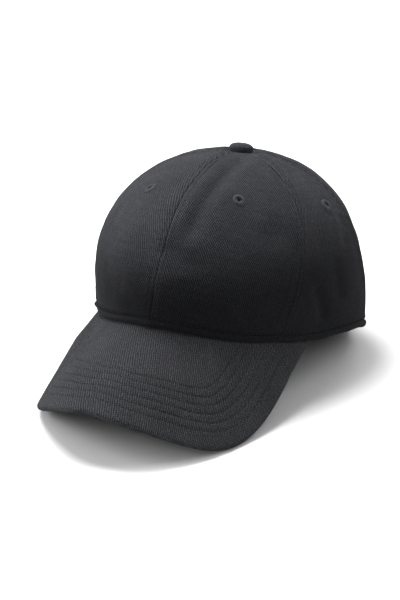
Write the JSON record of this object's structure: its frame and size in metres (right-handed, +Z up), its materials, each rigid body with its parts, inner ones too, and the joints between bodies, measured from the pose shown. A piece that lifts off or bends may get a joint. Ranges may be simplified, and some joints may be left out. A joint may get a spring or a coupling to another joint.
{
  "type": "baseball cap",
  "caption": "Soft unstructured panelled baseball cap with a curved brim, covered button, stitched eyelets and a cloth strap closure with a flip clasp.",
  "frame": {"origin": "middle of the bounding box on the surface that the cap rests on", "axes": "+Z up, the brim points along -Y, the wearer's left is +X"},
  "size_m": [0.1734, 0.2826, 0.1413],
  "materials": {
    "crown_twill": "washed heavy cotton twill, matt",
    "brim_twill": "washed heavy cotton twill, matt",
    "eyelet_thread": "satin-stitched polyester thread",
    "seam_tape": "plain woven cotton tape",
    "button_cloth": "twill stretched over a metal shell",
    "button_metal": "plated steel",
    "sweatband_twill": "soft cotton twill",
    "board_plastic": "translucent polyethylene sheet",
    "strap_twill": "folded cotton twill, edge stitched",
    "buckle_metal": "antique brass, brushed",
    "pin_steel": "plain steel"
  },
  "bodies": {
    "cap": {"front_left_panel": "crown_twill", "front_right_panel": "crown_twill", "side_left_panel": "crown_twill", "side_right_panel": "crown_twill", "back_left_panel": "crown_twill", "back_right_panel": "crown_twill", "eyelet_front_left": "eyelet_thread", "eyelet_side_left": "eyelet_thread", "eyelet_back_left": "eyelet_thread", "eyelet_back_right": "eyelet_thread", "eyelet_side_right": "eyelet_thread", "eyelet_front_right": "eyelet_thread", "seam_tape_left_front": "seam_tape", "seam_tape_left_rear": "seam_tape", "seam_tape_right_rear": "seam_tape", "seam_tape_right_front": "seam_tape", "seam_tape_center": "seam_tape", "arch_binding": "seam_tape", "button_cover": "button_cloth", "button_shell": "button_metal", "button_backing": "button_metal", "sweatband": "sweatband_twill", "brim_top_fabric": "brim_twill", "brim_bottom_fabric": "brim_twill", "brim_board": "board_plastic", "closure_tab": "strap_twill", "buckle_frame": "buckle_metal", "buckle_pin": "pin_steel"},
    "strap": {"closure_strap": "strap_twill"},
    "lever": {"buckle_lever": "buckle_metal"}
  },
  "joints": [
    {"name": "strap_adjust", "type": "hinge", "parent": "cap", "child": "strap", "pos_m": [0.00166, 0.05484, 0.03013], "axis": [0, -0.2256, -0.9742], "range_deg": [-8, 14]},
    {"name": "clasp_lever", "type": "hinge", "parent": "cap", "child": "lever", "pos_m": [0.02019, 0.13662, 0.01438], "axis": [0.0333, -0.0773, -0.9965], "range_deg": [0, 110]}
  ]
}
